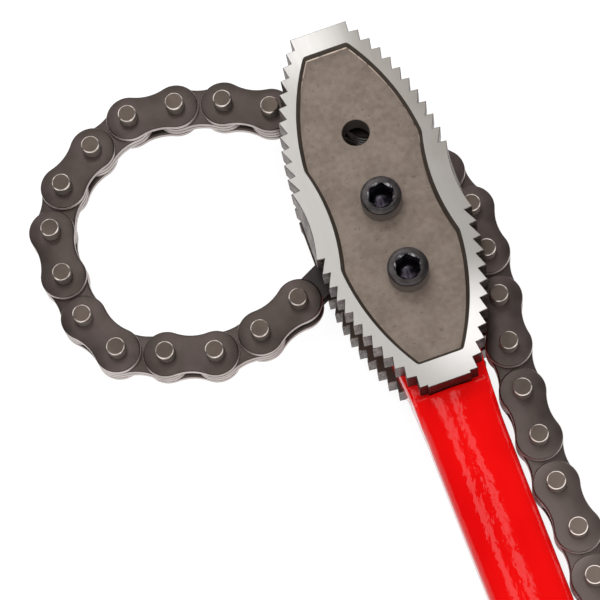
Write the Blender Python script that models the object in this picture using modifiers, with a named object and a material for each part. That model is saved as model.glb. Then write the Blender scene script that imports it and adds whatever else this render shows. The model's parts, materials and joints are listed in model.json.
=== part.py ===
"""Chain pipe wrench, laid flat on the backs of its nuts.

Metres, +Z up. The origin is on the axis of the middle bolt, in the plane of the nuts' outer faces.
+Y runs along the tool from the handle to the jaw tips, and the chain leaves the jaws towards -X.
Two jaw plates clamp the forked head of the handle between them. A short anchor link swings on the
middle bolt inside the fork and carries a leaf chain, which goes round the pipe, comes back between
the jaw plates and hangs down beside the handle.
"""

import math

import bmesh
import bpy
from mathutils import Matrix

# Fits
SEAT_GAP = 0.0003
WELD_DISTANCE = 0.000001
CUT_OVERRUN = 0.004

# Bolts and nuts, M14
BOLT_DIAMETER = 0.0134
BOLT_HEAD_DIAMETER = 0.0210
BOLT_HEAD_HEIGHT = 0.0105
BOLT_HEAD_BEVEL = 0.0009
BOLT_END_BEVEL = 0.0012
SOCKET_ACROSS_FLATS = 0.0120
SOCKET_DEPTH = 0.0065
NUT_ACROSS_FLATS = 0.0220
NUT_HEIGHT = 0.0110
NUT_BEVEL = 0.0010
BOLT_PITCH = 0.0406
BOLT_SIDES = 20
MIDDLE_KEY_ANGLE = 8.0
LOWER_KEY_ANGLE = 18.0

# Jaw plates: two alike, each mirrored about both of its axes but for a low boss on the end by the handle
JAW_THICKNESS = 0.0150
JAW_GAP = 0.0280
JAW_HALF_LENGTH = 0.1003
JAW_HALF_WIDTH = 0.0418
JAW_WAIST_HALF_WIDTH = 0.0391
JAW_WAIST_DRAFT = 0.0025
JAW_WAIST_STEPS = 4
TOOTH_ARC_RADIUS = 0.14375
TOOTH_ARC_LEVEL = 0.0172
FIRST_TOOTH_LEVEL = 0.0191
TOOTH_PITCH = 0.0079
TOOTH_DEPTH = 0.0042
TOOTH_UNDERCUT = 0.0005
END_BOSS_HALF_WIDTH = 0.0113
END_BOSS_HEIGHT = 0.00125
END_FALL = 0.0002
BOLT_HOLE_DIAMETER = 0.0144
RECESS_DEPTH = 0.0030
RECESS_DRAFT = 0.0012
RECESS_WAIST_HALF_WIDTH = 0.0280
RECESS_SHOULDER_HALF_WIDTH = 0.0318
RECESS_SHOULDER_LEVEL = 0.0285
RECESS_END_HALF_WIDTH = 0.0119
RECESS_END_MARGIN = 0.0117
RECESS_SIDE_BULGE = 0.0040
RECESS_WAIST_STEPS = 3
RECESS_SIDE_STEPS = 7

# Leaf chain, one inch pitch: two outer plates and two inner plates on riveted pins
CHAIN_PITCH = 0.0254
CHAIN_PLATE_END_RADIUS = 0.01205
CHAIN_PLATE_WAIST = 0.0195
CHAIN_PLATE_THICKNESS = 0.0032
CHAIN_PIN_DIAMETER = 0.0097
CHAIN_PIN_LENGTH = 0.0272
CHAIN_PIN_BEVEL = 0.0008
CHAIN_END_STEPS = 8
CHAIN_WAIST_STEPS = 2
CHAIN_PIN_SIDES = 12

# The lie of the chain: each link's heading from its first pin, in degrees from +X
LINK_HEADINGS = (
    -159.0, -174.5, -199.0, -205.0, -244.0, -263.0, -273.0, -301.0, -324.5,
    -337.5, -365.0, -377.0, -389.0, -378.0, -392.5, -409.5, -426.0, -433.0,
    -452.0, -456.0, -459.0, -454.5, -451.5, -451.0, -445.5, -452.5, -452.5,
)

# Anchor link
ANCHOR_LENGTH = 0.0632
ANCHOR_HEADING = 207.0
ANCHOR_WIDTH = 0.0170
ANCHOR_HUB_RADIUS = 0.0115
ANCHOR_EYE_RADIUS = 0.0105
ANCHOR_SIDES = 16

# Handle
HANDLE_REACH = 0.8137
HEAD_TOP_RADIUS = 0.0240
HEAD_SHOULDER_HALF_WIDTH = 0.0234
HEAD_SHOULDER_LEVEL = 0.0600
HEAD_NECK_HALF_WIDTH = 0.0217
HEAD_NECK_LEVEL = 0.0860
HEAD_ROOT_HALF_WIDTH = 0.0203
HEAD_ROOT_OVERLAP = 0.0030
HEAD_TOP_STEPS = 14
FORK_SLOT_WIDTH = 0.0160
FORK_SLOT_DEPTH = 0.0270
PIN_SEAT_RADIUS = 0.0052
PIN_SEAT_ANGLE = 30.0
BODY_HALF_WIDTH = 0.0200
BODY_HALF_DEPTH = 0.0175
BODY_END_HALF_WIDTH = 0.0145
BODY_END_HALF_DEPTH = 0.0130
BODY_SHOULDER_BEVEL = 0.0012
BODY_STRAIGHT_LENGTH = 0.1500
BODY_ROUNDING = 0.0160
BODY_CROWN_RADIUS = 0.0420
BODY_SHOULDER_SQUARENESS = 8.0
BODY_SQUARENESS = 4.0
BODY_END_SQUARENESS = 3.0
BODY_FLARE_LENGTH = 0.0200
BODY_FLARE = 0.0005
BODY_SIDES = 24
BODY_ROUND_STEPS = 4
BODY_TAPER_STEPS = 5

# Levels that follow from the sizes above
INNER_LINK_THICKNESS = 2 * CHAIN_PLATE_THICKNESS + SEAT_GAP
CHAIN_STACK = INNER_LINK_THICKNESS + 2 * (CHAIN_PLATE_THICKNESS + SEAT_GAP)
REAR_FLOOR_LEVEL = NUT_HEIGHT + SEAT_GAP
REAR_INNER_LEVEL = REAR_FLOOR_LEVEL - RECESS_DEPTH + JAW_THICKNESS
FRONT_INNER_LEVEL = REAR_INNER_LEVEL + JAW_GAP
FRONT_FLOOR_LEVEL = FRONT_INNER_LEVEL + JAW_THICKNESS - RECESS_DEPTH
MIDDLE_LEVEL = (REAR_INNER_LEVEL + FRONT_INNER_LEVEL) / 2
HEAD_THICKNESS = JAW_GAP - 2 * SEAT_GAP
SHOULDER_LEVEL = -JAW_HALF_LENGTH - END_BOSS_HEIGHT - SEAT_GAP
BOLT_BORE_RADIUS = BOLT_HOLE_DIAMETER / 2
CHAIN_HOLE_RADIUS = CHAIN_PIN_DIAMETER / 2 + SEAT_GAP


def clear_scene():
    for old in list(bpy.data.objects):
        bpy.data.objects.remove(old)


def new_collection(name):
    collection = bpy.data.collections.new(name)
    bpy.context.scene.collection.children.link(collection)
    return collection


def new_material(name, colour, roughness, metallic):
    material = bpy.data.materials.new(name)
    material.use_nodes = True
    shader = material.node_tree.nodes["Principled BSDF"]
    shader.inputs["Base Color"].default_value = (*colour, 1)
    shader.inputs["Roughness"].default_value = roughness
    shader.inputs["Metallic"].default_value = metallic
    return material


def place(name, mesh, material, location=(0, 0, 0), rotation=(0, 0, 0)):
    """A part: an object on this mesh, in the wrench's own collection."""
    part = bpy.data.objects.new(name, mesh)
    PARTS.objects.link(part)
    part.location = location
    part.rotation_euler = rotation
    if not mesh.materials:
        mesh.materials.append(material)
    mesh.set_sharp_from_angle(angle=math.radians(30))
    return part


def tool(name, mesh, location=(0, 0, 0)):
    """A cutter or a form to join: it shapes a part and isn't one."""
    helper = bpy.data.objects.new(name, mesh)
    TOOLS.objects.link(helper)
    helper.location = location
    helper.hide_render = True
    helper.display_type = "WIRE"
    return helper


def shape(part, helper, operation):
    modifier = part.modifiers.new(helper.name, "BOOLEAN")
    modifier.solver = "EXACT"
    modifier.operation = operation
    modifier.object = helper


def finished_mesh(helper, name):
    """The mesh that an object's modifiers leave, to be shared by like parts."""
    bpy.context.view_layer.update()
    graph = bpy.context.evaluated_depsgraph_get()
    mesh = bpy.data.meshes.new_from_object(helper.evaluated_get(graph))
    mesh.name = name
    return mesh


def welded(mesh):
    cleaned = bmesh.new()
    cleaned.from_mesh(mesh)
    bmesh.ops.remove_doubles(cleaned, verts=cleaned.verts, dist=WELD_DISTANCE)
    bmesh.ops.recalc_face_normals(cleaned, faces=cleaned.faces)
    cleaned.to_mesh(mesh)
    cleaned.free()
    return mesh


def flat_plate(name, loops, thickness):
    """A plate with this outline and these holes, its middle plane at Z 0."""
    curve = bpy.data.curves.new(name, "CURVE")
    curve.dimensions = "2D"
    curve.fill_mode = "BOTH"
    curve.extrude = thickness / 2
    for loop in loops:
        spline = curve.splines.new("POLY")
        spline.points.add(len(loop) - 1)
        for point, (x, y) in zip(spline.points, loop):
            point.co = (x, y, 0, 1)
        spline.use_cyclic_u = True
    guide = tool(name, curve)
    mesh = welded(finished_mesh(guide, name))
    bpy.data.objects.remove(guide)
    return mesh


def drafted_prism(name, low_loop, high_loop, low, high):
    """A solid between two unlike outlines with as many points each."""
    solid = bmesh.new()
    bottom = [solid.verts.new((x, y, low)) for x, y in low_loop]
    top = [solid.verts.new((x, y, high)) for x, y in high_loop]
    solid.faces.new(bottom)
    solid.faces.new(top)
    for i in range(len(bottom)):
        solid.faces.new((bottom[i - 1], bottom[i], top[i], top[i - 1]))
    bmesh.ops.recalc_face_normals(solid, faces=solid.faces)
    mesh = bpy.data.meshes.new(name)
    solid.to_mesh(mesh)
    solid.free()
    return mesh


def rod(name, radius, length, sides, turn=0.0):
    """A round or many-sided rod along Z, its middle at the origin."""
    solid = bmesh.new()
    bmesh.ops.create_cone(
        solid,
        cap_ends=True,
        segments=sides,
        radius1=radius,
        radius2=radius,
        depth=length,
        matrix=Matrix.Rotation(turn, 4, "Z"),
    )
    mesh = bpy.data.meshes.new(name)
    solid.to_mesh(mesh)
    solid.free()
    return mesh


def block(name, width, depth, height):
    solid = bmesh.new()
    bmesh.ops.create_cube(solid, size=1, matrix=Matrix.Diagonal((width, depth, height, 1)))
    mesh = bpy.data.meshes.new(name)
    solid.to_mesh(mesh)
    solid.free()
    return mesh


def turned(name, profile, sides):
    """A mesh turned about Z from (radius, level) points, which run down its outer side."""
    line = bpy.data.meshes.new(name)
    points = [(radius, 0, level) for radius, level in profile]
    line.from_pydata(points, [(i, i + 1) for i in range(len(points) - 1)], [])
    blank = tool(name, line)
    screw = blank.modifiers.new("turn", "SCREW")
    screw.steps = sides
    screw.render_steps = sides
    screw.use_merge_vertices = True
    screw.merge_threshold = WELD_DISTANCE
    mesh = finished_mesh(blank, name)
    bpy.data.objects.remove(blank)
    return mesh


def arc(centre, radius, start, end, steps):
    """Points on a circle from one angle to another, in degrees, both ends among them."""
    points = []
    for i in range(steps + 1):
        angle = math.radians(start + (end - start) * i / steps)
        points.append((centre[0] + radius * math.cos(angle), centre[1] + radius * math.sin(angle)))
    return points


def circle(centre, radius, steps):
    return arc(centre, radius, 0, 360, steps)[:-1]


def mirrored_outline(quarter):
    """A whole outline from its +X +Y quarter, which runs from the X axis to the far end."""
    right = [(x, -y) for x, y in reversed(quarter[1:])] + quarter
    return right + [(-x, y) for x, y in reversed(right)]


def inset(loop, distance):
    """An outline moved inwards by this distance, corner by corner."""
    moved = []
    for i, (x, y) in enumerate(loop):
        before, after = loop[i - 1], loop[(i + 1) % len(loop)]
        first = math.atan2(y - before[1], x - before[0])
        second = math.atan2(after[1] - y, after[0] - x)
        half = math.remainder(second - first, math.tau) / 2
        reach = distance / math.cos(half)
        across = first + half + math.pi / 2
        moved.append((x + reach * math.cos(across), y + reach * math.sin(across)))
    return moved


# Jaws


def waist_share(level, end):
    """How far the side has moved from the waist's middle, 0, to its end, 1."""
    return (level / end) ** 2


def jaw_quarter():
    """The jaw's edge from the waist to the tip: each tooth is a step along X, then a long flank."""
    centre_x = JAW_HALF_WIDTH - TOOTH_ARC_RADIUS
    first_angle = math.asin((FIRST_TOOTH_LEVEL - TOOTH_ARC_LEVEL) / TOOTH_ARC_RADIUS)
    corner_angle = math.asin((JAW_HALF_LENGTH - TOOTH_ARC_LEVEL) / TOOTH_ARC_RADIUS)
    tooth_count = round((corner_angle - first_angle) * TOOTH_ARC_RADIUS / TOOTH_PITCH)
    quarter = []
    first_tip = centre_x + TOOTH_ARC_RADIUS * math.cos(first_angle)
    for i in range(JAW_WAIST_STEPS):
        level = FIRST_TOOTH_LEVEL * i / JAW_WAIST_STEPS
        share = waist_share(level, FIRST_TOOTH_LEVEL)
        quarter.append((JAW_WAIST_HALF_WIDTH + share * (first_tip - JAW_WAIST_HALF_WIDTH), level))
    for i in range(tooth_count):
        angle = first_angle + i / tooth_count * (corner_angle - first_angle)
        tip_x = centre_x + TOOTH_ARC_RADIUS * math.cos(angle)
        tip_y = TOOTH_ARC_LEVEL + TOOTH_ARC_RADIUS * math.sin(angle)
        quarter.append((tip_x, tip_y))
        quarter.append((tip_x - TOOTH_DEPTH / math.cos(angle), tip_y + TOOTH_UNDERCUT))
    quarter.append((centre_x + TOOTH_ARC_RADIUS * math.cos(corner_angle), JAW_HALF_LENGTH))
    return quarter


def end_boss():
    """The low boss on the jaw's lower end, by the handle's shoulder; the end falls a little towards it."""
    half, top = END_BOSS_HALF_WIDTH, -JAW_HALF_LENGTH - END_BOSS_HEIGHT
    foot = -JAW_HALF_LENGTH - END_FALL
    return [(-half, foot), (-half, top), (half, top), (half, foot)]


def recess_quarter():
    """The recess's edge: a hollow waist, a shoulder, a bulging side and a straight end."""
    widening = RECESS_SHOULDER_HALF_WIDTH - RECESS_WAIST_HALF_WIDTH
    quarter = []
    for i in range(RECESS_WAIST_STEPS):
        level = RECESS_SHOULDER_LEVEL * i / RECESS_WAIST_STEPS
        share = waist_share(level, RECESS_SHOULDER_LEVEL)
        quarter.append((RECESS_WAIST_HALF_WIDTH + share * widening, level))
    run_x = RECESS_END_HALF_WIDTH - RECESS_SHOULDER_HALF_WIDTH
    run_y = JAW_HALF_LENGTH - RECESS_END_MARGIN - RECESS_SHOULDER_LEVEL
    run = math.hypot(run_x, run_y)
    for i in range(RECESS_SIDE_STEPS + 1):
        t = i / RECESS_SIDE_STEPS
        bulge = RECESS_SIDE_BULGE * 4 * t * (1 - t)
        x = RECESS_SHOULDER_HALF_WIDTH + t * run_x + bulge * run_y / run
        quarter.append((x, RECESS_SHOULDER_LEVEL + t * run_y - bulge * run_x / run))
    return quarter


def jaw_mesh():
    """One jaw plate with its recessed side up and its clamping face at Z 0."""
    holes = [circle((0, level), BOLT_BORE_RADIUS, BOLT_SIDES) for level in (-BOLT_PITCH, 0, BOLT_PITCH)]
    edge = mirrored_outline(jaw_quarter()) + end_boss()
    blank = flat_plate("jaw_blank", [edge, *holes], JAW_THICKNESS)
    blank.transform(Matrix.Translation((0, 0, JAW_THICKNESS / 2)))
    # The forged waist stands out further at the clamping face than at the rim.
    for vertex in blank.vertices:
        x, y, z = vertex.co
        on_waist_side = abs(y) < FIRST_TOOTH_LEVEL and abs(x) > RECESS_WAIST_HALF_WIDTH
        if on_waist_side and z < JAW_THICKNESS / 2:
            draft = JAW_WAIST_DRAFT * (1 - waist_share(y, FIRST_TOOTH_LEVEL))
            vertex.co.x += math.copysign(draft, x)
    rim_loop = mirrored_outline(recess_quarter())
    floor_level = JAW_THICKNESS - RECESS_DEPTH
    top_level = JAW_THICKNESS + CUT_OVERRUN
    spread = RECESS_DRAFT * CUT_OVERRUN / RECESS_DEPTH
    cutter = drafted_prism(
        "jaw_recess", inset(rim_loop, RECESS_DRAFT), inset(rim_loop, -spread), floor_level, top_level
    )
    plate = tool("jaw_form", blank)
    shape(plate, tool("jaw_recess", cutter), "DIFFERENCE")
    return finished_mesh(plate, "jaw")


def make_jaws():
    steel = new_material("ground steel", (0.52, 0.49, 0.46), 0.38, 1.0)
    mesh = jaw_mesh()
    place("jaw_front", mesh, steel, (0, 0, FRONT_INNER_LEVEL))
    place("jaw_rear", mesh, steel, (0, 0, REAR_INNER_LEVEL), (0, math.pi, 0))


# Bolts and nuts


def make_bolt(name, level, key_angle, steel):
    """A socket-head bolt on the front jaw's floor, its end flush with the nut's outer face."""
    shank_length = FRONT_FLOOR_LEVEL + SEAT_GAP
    head, shank = BOLT_HEAD_DIAMETER / 2, BOLT_DIAMETER / 2
    profile = [
        (0, BOLT_HEAD_HEIGHT),
        (head - BOLT_HEAD_BEVEL, BOLT_HEAD_HEIGHT),
        (head, BOLT_HEAD_HEIGHT - BOLT_HEAD_BEVEL),
        (head, 0),
        (shank, 0),
        (shank, BOLT_END_BEVEL - shank_length),
        (shank - BOLT_END_BEVEL, -shank_length),
        (0, -shank_length),
    ]
    seat = (0, level, FRONT_FLOOR_LEVEL + SEAT_GAP)
    bolt = place(name, turned(name, profile, BOLT_SIDES), steel, seat)
    key_radius = SOCKET_ACROSS_FLATS / 2 / math.cos(math.pi / 6)
    key = rod(name + "_socket", key_radius, 2 * SOCKET_DEPTH, 6, math.radians(key_angle))
    shape(bolt, tool(name + "_socket", key, (0, level, seat[2] + BOLT_HEAD_HEIGHT)), "DIFFERENCE")


def make_nut(name, level, steel):
    """A hexagon nut with bevelled corners, its outer face at Z 0."""
    corner = NUT_ACROSS_FLATS / 2 / math.cos(math.pi / 6)
    middle = (0, level, NUT_HEIGHT / 2)
    nut = place(name, rod(name, corner, NUT_HEIGHT, 6), steel, middle)
    profile = [
        (0, NUT_HEIGHT / 2),
        (corner - NUT_BEVEL, NUT_HEIGHT / 2),
        (corner, NUT_HEIGHT / 2 - NUT_BEVEL / 2),
        (corner, NUT_BEVEL / 2 - NUT_HEIGHT / 2),
        (corner - NUT_BEVEL, -NUT_HEIGHT / 2),
        (0, -NUT_HEIGHT / 2),
    ]
    shape(nut, tool(name + "_bevel", turned(name + "_bevel", profile, BOLT_SIDES), middle), "INTERSECT")
    bore = rod(name + "_bore", BOLT_DIAMETER / 2 + SEAT_GAP, NUT_HEIGHT + CUT_OVERRUN, BOLT_SIDES)
    shape(nut, tool(name + "_bore", bore, middle), "DIFFERENCE")


def make_fasteners():
    steel = new_material("blackened steel", (0.045, 0.045, 0.05), 0.35, 0.9)
    for name, level, angle in (("middle", 0, MIDDLE_KEY_ANGLE), ("lower", -BOLT_PITCH, LOWER_KEY_ANGLE)):
        make_bolt("bolt_" + name, level, angle, steel)
        make_nut("nut_" + name, level, steel)


# Chain


def link_outline():
    """Two round ends a pitch apart, joined by hollow waists."""
    half_waist = CHAIN_PLATE_WAIST / 2
    # A waist arc that is tangent to both ends and half_waist from the middle line.
    reach = CHAIN_PITCH / 2
    rise = CHAIN_PLATE_END_RADIUS - half_waist
    waist_radius = (reach**2 - rise**2) / (2 * rise) - half_waist + rise / 2
    for _ in range(CHAIN_PIN_SIDES):
        drop = math.sqrt((waist_radius + CHAIN_PLATE_END_RADIUS) ** 2 - reach**2)
        waist_radius = drop - half_waist
    opening = math.degrees(math.atan2(drop, reach))
    right = arc((CHAIN_PITCH, 0), CHAIN_PLATE_END_RADIUS, opening - 180, 180 - opening, CHAIN_END_STEPS)
    top = arc((reach, drop), waist_radius, -opening, opening - 180, CHAIN_WAIST_STEPS)
    left = arc((0, 0), CHAIN_PLATE_END_RADIUS, opening, 360 - opening, CHAIN_END_STEPS)
    bottom = [(x, -y) for x, y in reversed(top)]
    return right + top[1:-1] + left + bottom[1:-1]


def pin_mesh():
    half, radius = CHAIN_PIN_LENGTH / 2, CHAIN_PIN_DIAMETER / 2
    profile = [
        (0, half),
        (radius - CHAIN_PIN_BEVEL, half),
        (radius, half - CHAIN_PIN_BEVEL),
        (radius, CHAIN_PIN_BEVEL - half),
        (radius - CHAIN_PIN_BEVEL, -half),
        (0, -half),
    ]
    return turned("chain_pin", profile, CHAIN_PIN_SIDES)


def chain_meshes():
    """The three forms that make the chain: inner pair, front outer plate, rear outer plate with pins."""
    outline = link_outline()
    hole_sides = CHAIN_PIN_SIDES
    holes = [circle((x, 0), CHAIN_HOLE_RADIUS, hole_sides) for x in (0, CHAIN_PITCH)]
    inner = flat_plate("chain_inner", [outline, *holes], INNER_LINK_THICKNESS)
    outer = flat_plate("chain_outer", [outline, *holes], CHAIN_PLATE_THICKNESS)
    outer_level = (CHAIN_STACK - CHAIN_PLATE_THICKNESS) / 2
    outer.transform(Matrix.Translation((0, 0, outer_level)))
    rear = flat_plate("chain_rear", [outline], CHAIN_PLATE_THICKNESS)
    rear.transform(Matrix.Translation((0, 0, -outer_level)))
    form = tool("chain_rear_form", rear)
    for x in (0, CHAIN_PITCH):
        shape(form, tool("chain_pin_form", pin_mesh(), (x, 0, 0)), "UNION")
    return inner, outer, finished_mesh(form, "chain_rear_with_pins")


def pin_places():
    """Each pin's place, from the anchor link on, a pitch apart along the links' headings."""
    heading = math.radians(ANCHOR_HEADING)
    x, y = ANCHOR_LENGTH * math.cos(heading), ANCHOR_LENGTH * math.sin(heading)
    places = [(x, y)]
    for degrees in LINK_HEADINGS:
        x += CHAIN_PITCH * math.cos(math.radians(degrees))
        y += CHAIN_PITCH * math.sin(math.radians(degrees))
        places.append((x, y))
    return places


def make_chain():
    inner_steel = new_material("inner link steel", (0.085, 0.075, 0.07), 0.48, 0.8)
    outer_steel = new_material("outer plate steel", (0.095, 0.08, 0.078), 0.45, 0.8)
    pin_steel = new_material("pin plate steel", (0.13, 0.115, 0.10), 0.42, 0.9)
    inner, outer, rear = chain_meshes()
    for i, (degrees, (x, y)) in enumerate(zip(LINK_HEADINGS, pin_places())):
        spot, turn = (x, y, MIDDLE_LEVEL), (0, 0, math.radians(degrees))
        number = f"{i // 2 + 1:02d}"
        if i % 2:
            place("chain_inner_link_" + number, inner, inner_steel, spot, turn)
        else:
            place("chain_outer_plate_" + number, outer, outer_steel, spot, turn)
            place("chain_pin_plate_" + number, rear, pin_steel, spot, turn)


def anchor_outline():
    """A straight bar between two eyes, from the bolt at the origin to the first chain pin."""
    hub_angle = math.degrees(math.asin(ANCHOR_WIDTH / 2 / ANCHOR_HUB_RADIUS))
    eye_angle = math.degrees(math.asin(ANCHOR_WIDTH / 2 / ANCHOR_EYE_RADIUS))
    eye_start, eye_end = eye_angle - 180, 180 - eye_angle
    eye = arc((ANCHOR_LENGTH, 0), ANCHOR_EYE_RADIUS, eye_start, eye_end, ANCHOR_SIDES)
    hub = arc((0, 0), ANCHOR_HUB_RADIUS, hub_angle, 360 - hub_angle, ANCHOR_SIDES)
    return eye + hub


def make_anchor_link():
    """A flat bar, as thick as an inner link, with a hub that fills the fork on the middle bolt."""
    steel = new_material("anchor steel", (0.03, 0.027, 0.026), 0.5, 0.7)
    eye_hole = circle((ANCHOR_LENGTH, 0), CHAIN_HOLE_RADIUS, CHAIN_PIN_SIDES)
    mesh = flat_plate("anchor_link", [anchor_outline(), eye_hole], INNER_LINK_THICKNESS)
    spot, turn = (0, 0, MIDDLE_LEVEL), (0, 0, math.radians(ANCHOR_HEADING))
    link = place("anchor_link", mesh, steel, spot, turn)
    hub_length = FORK_SLOT_WIDTH - 2 * SEAT_GAP
    hub = rod("anchor_hub", ANCHOR_HUB_RADIUS, hub_length, ANCHOR_SIDES)
    shape(link, tool("anchor_hub", hub, spot), "UNION")
    bore = rod("anchor_bore", BOLT_DIAMETER / 2 + SEAT_GAP, hub_length + CUT_OVERRUN, BOLT_SIDES)
    shape(link, tool("anchor_bore", bore, spot), "DIFFERENCE")


# Handle


def head_outline():
    """A straight neck that widens to a round top about the middle bolt."""
    root = SHOULDER_LEVEL - HEAD_ROOT_OVERLAP
    top = arc((0, 0), HEAD_TOP_RADIUS, 0, 180, HEAD_TOP_STEPS)
    neck = [
        (HEAD_ROOT_HALF_WIDTH, root),
        (HEAD_NECK_HALF_WIDTH, -HEAD_NECK_LEVEL),
        (HEAD_SHOULDER_HALF_WIDTH, -HEAD_SHOULDER_LEVEL),
    ]
    return neck + top + [(-x, y) for x, y in reversed(neck)]


def body_section(half_width, half_depth, y, squareness):
    """A rounded oblong across the handle, crowned on both flats."""
    points = []
    for i in range(BODY_SIDES):
        angle = math.tau * i / BODY_SIDES
        across = abs(math.cos(angle)) ** (2 / squareness)
        up = abs(math.sin(angle)) ** (2 / squareness)
        x = half_width * math.copysign(across, math.cos(angle))
        crown = half_depth / BODY_HALF_DEPTH * x**2 / (2 * BODY_CROWN_RADIUS)
        points.append((x, y, (half_depth - crown) * math.copysign(up, math.sin(angle))))
    return points


def body_sections():
    """Sections from the shoulder to the rounded end: straight at first, then tapered."""
    bevel = BODY_SHOULDER_BEVEL
    top_half_width = BODY_HALF_WIDTH + BODY_FLARE
    flare_end = SHOULDER_LEVEL - BODY_FLARE_LENGTH
    taper_start = SHOULDER_LEVEL - BODY_STRAIGHT_LENGTH
    rounding_start = BODY_ROUNDING - HANDLE_REACH
    sizes = [
        (top_half_width - bevel, BODY_HALF_DEPTH - bevel, SHOULDER_LEVEL, BODY_SHOULDER_SQUARENESS),
        (top_half_width, BODY_HALF_DEPTH, SHOULDER_LEVEL - bevel, BODY_SHOULDER_SQUARENESS),
        (BODY_HALF_WIDTH, BODY_HALF_DEPTH, flare_end, BODY_SQUARENESS),
    ]
    for i in range(BODY_TAPER_STEPS + 1):
        t = i / BODY_TAPER_STEPS
        half_width = BODY_HALF_WIDTH + t * (BODY_END_HALF_WIDTH - BODY_HALF_WIDTH)
        half_depth = BODY_HALF_DEPTH + t * (BODY_END_HALF_DEPTH - BODY_HALF_DEPTH)
        squareness = BODY_SQUARENESS + t * (BODY_END_SQUARENESS - BODY_SQUARENESS)
        y = taper_start + t * (rounding_start - taper_start)
        sizes.append((half_width, half_depth, y, squareness))
    for i in range(1, BODY_ROUND_STEPS):
        angle = math.pi / 2 * i / BODY_ROUND_STEPS
        half_width = BODY_END_HALF_WIDTH * math.cos(angle)
        half_depth = BODY_END_HALF_DEPTH * math.cos(angle)
        y = rounding_start - BODY_ROUNDING * math.sin(angle)
        sizes.append((half_width, half_depth, y, BODY_END_SQUARENESS))
    return [body_section(*size) for size in sizes]


def body_mesh():
    """A loft through the handle's sections, with flat ends."""
    solid = bmesh.new()
    rings = [[solid.verts.new(point) for point in section] for section in body_sections()]
    solid.faces.new(rings[0])
    solid.faces.new(rings[-1])
    for above, below in zip(rings, rings[1:]):
        for i in range(BODY_SIDES):
            solid.faces.new((above[i - 1], above[i], below[i], below[i - 1]))
    bmesh.ops.recalc_face_normals(solid, faces=solid.faces)
    mesh = bpy.data.meshes.new("handle")
    solid.to_mesh(mesh)
    solid.free()
    return mesh


def make_handle():
    """One forging: an oval body, and a flat head that is forked for the anchor link and the chain."""
    red = new_material("red enamel", (0.75, 0.008, 0.004), 0.3, 0.0)
    centre = (0, 0, MIDDLE_LEVEL)
    handle = place("handle", body_mesh(), red, centre)
    head = flat_plate("handle_head", [head_outline()], HEAD_THICKNESS)
    shape(handle, tool("handle_head", head, centre), "UNION")
    slot_height = HEAD_TOP_RADIUS + FORK_SLOT_DEPTH + CUT_OVERRUN
    slot_centre = (0, slot_height / 2 - FORK_SLOT_DEPTH, MIDDLE_LEVEL)
    slot = block("fork_slot", 2 * HEAD_TOP_RADIUS + CUT_OVERRUN, slot_height, FORK_SLOT_WIDTH)
    shape(handle, tool("fork_slot", slot, slot_centre), "DIFFERENCE")
    through = HEAD_THICKNESS + CUT_OVERRUN
    for name, level in (("middle_bore", 0), ("lower_bore", -BOLT_PITCH)):
        bore = rod(name, BOLT_BORE_RADIUS, through, BOLT_SIDES)
        shape(handle, tool(name, bore, (0, level, MIDDLE_LEVEL)), "DIFFERENCE")
    for name, lean in (("left_seat", PIN_SEAT_ANGLE), ("right_seat", -PIN_SEAT_ANGLE)):
        angle = math.radians(90 + lean)
        spot = (HEAD_TOP_RADIUS * math.cos(angle), HEAD_TOP_RADIUS * math.sin(angle), MIDDLE_LEVEL)
        seat = rod(name, PIN_SEAT_RADIUS, through, CHAIN_PIN_SIDES)
        shape(handle, tool(name, seat, spot), "DIFFERENCE")


clear_scene()
PARTS = new_collection("chain_pipe_wrench")
TOOLS = new_collection("cutters_and_forms")
make_jaws()
make_fasteners()
make_chain()
make_anchor_link()
make_handle()
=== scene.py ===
import json
import math

import bmesh
import bpy
import numpy as np
from mathutils import Matrix, Vector, geometry


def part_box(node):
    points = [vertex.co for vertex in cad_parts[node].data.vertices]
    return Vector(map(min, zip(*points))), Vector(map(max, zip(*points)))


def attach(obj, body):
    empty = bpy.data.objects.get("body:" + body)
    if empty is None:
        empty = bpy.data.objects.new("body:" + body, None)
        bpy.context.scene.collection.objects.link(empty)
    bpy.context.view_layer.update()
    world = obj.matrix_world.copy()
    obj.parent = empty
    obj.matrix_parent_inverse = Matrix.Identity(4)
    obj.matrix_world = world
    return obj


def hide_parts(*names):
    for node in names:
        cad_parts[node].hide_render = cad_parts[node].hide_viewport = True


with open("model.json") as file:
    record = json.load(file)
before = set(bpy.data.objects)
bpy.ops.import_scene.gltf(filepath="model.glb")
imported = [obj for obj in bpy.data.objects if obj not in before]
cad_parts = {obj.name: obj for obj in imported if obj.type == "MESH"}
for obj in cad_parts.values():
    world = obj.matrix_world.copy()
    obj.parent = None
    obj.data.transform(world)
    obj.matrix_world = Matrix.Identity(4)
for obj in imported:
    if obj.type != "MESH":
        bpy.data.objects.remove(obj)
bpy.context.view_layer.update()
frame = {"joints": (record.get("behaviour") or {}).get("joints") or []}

# Camera
# A long lens looks down on the lying tool from the handle's side and a little to its left, so that the
# handle runs out of the frame and the chain's loop and both jaws are seen whole.
camera = bpy.data.objects.new("camera", bpy.data.cameras.new("camera"))
camera.data.sensor_width = 36
camera.data.lens = 158.13
camera_place = Vector((-0.090416, -0.458408, 1.322232))
camera_forward = Vector((0.025750, 0.318667, -0.947517)).normalized()
camera_up = Vector((0.331830, 0.891365, 0.308800)).normalized()
camera_turn = Matrix((camera_forward.cross(camera_up), camera_up, -camera_forward)).transposed()
camera.matrix_world = Matrix.Translation(camera_place) @ camera_turn.to_4x4()
bpy.context.scene.collection.objects.link(camera)
bpy.context.scene.camera = camera
bpy.context.scene.view_settings.view_transform = "Standard"

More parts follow.
